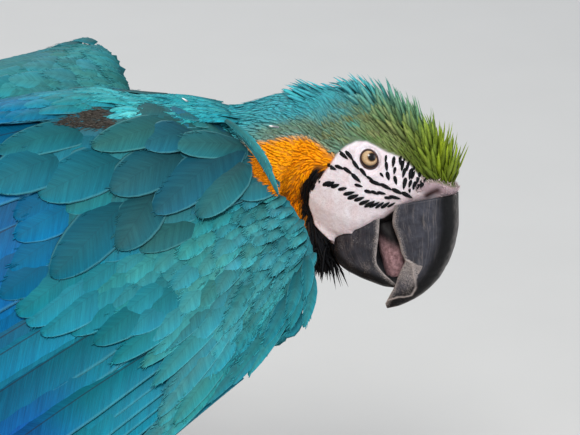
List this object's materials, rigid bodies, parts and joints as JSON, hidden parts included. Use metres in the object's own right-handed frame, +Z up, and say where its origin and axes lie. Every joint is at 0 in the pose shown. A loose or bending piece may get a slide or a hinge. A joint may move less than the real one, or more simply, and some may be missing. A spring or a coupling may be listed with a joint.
{
  "type": "blue-and-yellow macaw",
  "caption": "Life-size still blue-and-yellow macaw leaning forward on a short perch with its head low, wings held slightly open, on a plain display stand.",
  "frame": {"origin": "centre of the underside of the stand's base", "axes": "+X the way the bird's trunk faces, +Y to the bird's left, +Z up"},
  "size_m": [0.7283, 0.3321, 0.3748],
  "materials": {
    "head_plumage": "soft feathers, blue-green at the nape to yellow-green on the forehead, over bare white skin on the face",
    "neck_plumage": "soft feathers, golden orange at the side, blue-green above, black at the throat",
    "body_plumage": "soft feathers, turquoise above, golden yellow below",
    "wing_coverts": "overlapping turquoise covert feathers with fine dark shafts",
    "flight_feathers": "stiff deep blue vanes, golden below",
    "tail_feathers": "long stiff blue vanes, golden below",
    "eye": "wet and glossy, pale straw iris with a black pupil",
    "bill": "black horn, half matte, scuffed and flaking at the edges",
    "tongue": "grey-pink, dull and dry",
    "foot_skin": "dark grey scaly skin",
    "claw": "black horn, half gloss",
    "perch_paint": "cream powder coat, half gloss",
    "stand_steel": "brushed",
    "stand_wood": "dark stained, satin varnish"
  },
  "bodies": {
    "root": {"bill_lower": "bill", "bill_upper": "bill", "claw_inner_back_left": "claw", "claw_inner_back_right": "claw", "claw_inner_front_left": "claw", "claw_inner_front_right": "claw", "claw_outer_back_left": "claw", "claw_outer_back_right": "claw", "claw_outer_front_left": "claw", "claw_outer_front_right": "claw", "eye_left": "eye", "eye_right": "eye", "head": "head_plumage", "neck": "neck_plumage", "stand_base": "stand_wood", "stand_perch": "perch_paint", "stand_post": "stand_steel", "tail_base": "body_plumage", "tail_feathers": "tail_feathers", "tarsus_left": "foot_skin", "tarsus_right": "foot_skin", "thigh_left": "body_plumage", "thigh_right": "body_plumage", "toe_inner_back_left": "foot_skin", "toe_inner_back_right": "foot_skin", "toe_inner_front_left": "foot_skin", "toe_inner_front_right": "foot_skin", "toe_outer_back_left": "foot_skin", "toe_outer_back_right": "foot_skin", "toe_outer_front_left": "foot_skin", "toe_outer_front_right": "foot_skin", "tongue": "tongue", "trunk": "body_plumage", "wing_left_coverts": "wing_coverts", "wing_left_primaries": "flight_feathers", "wing_left_secondaries": "flight_feathers", "wing_left_tertials": "flight_feathers", "wing_right_coverts": "wing_coverts", "wing_right_primaries": "flight_feathers", "wing_right_secondaries": "flight_feathers", "wing_right_tertials": "flight_feathers"}
  },
  "joints": []
}
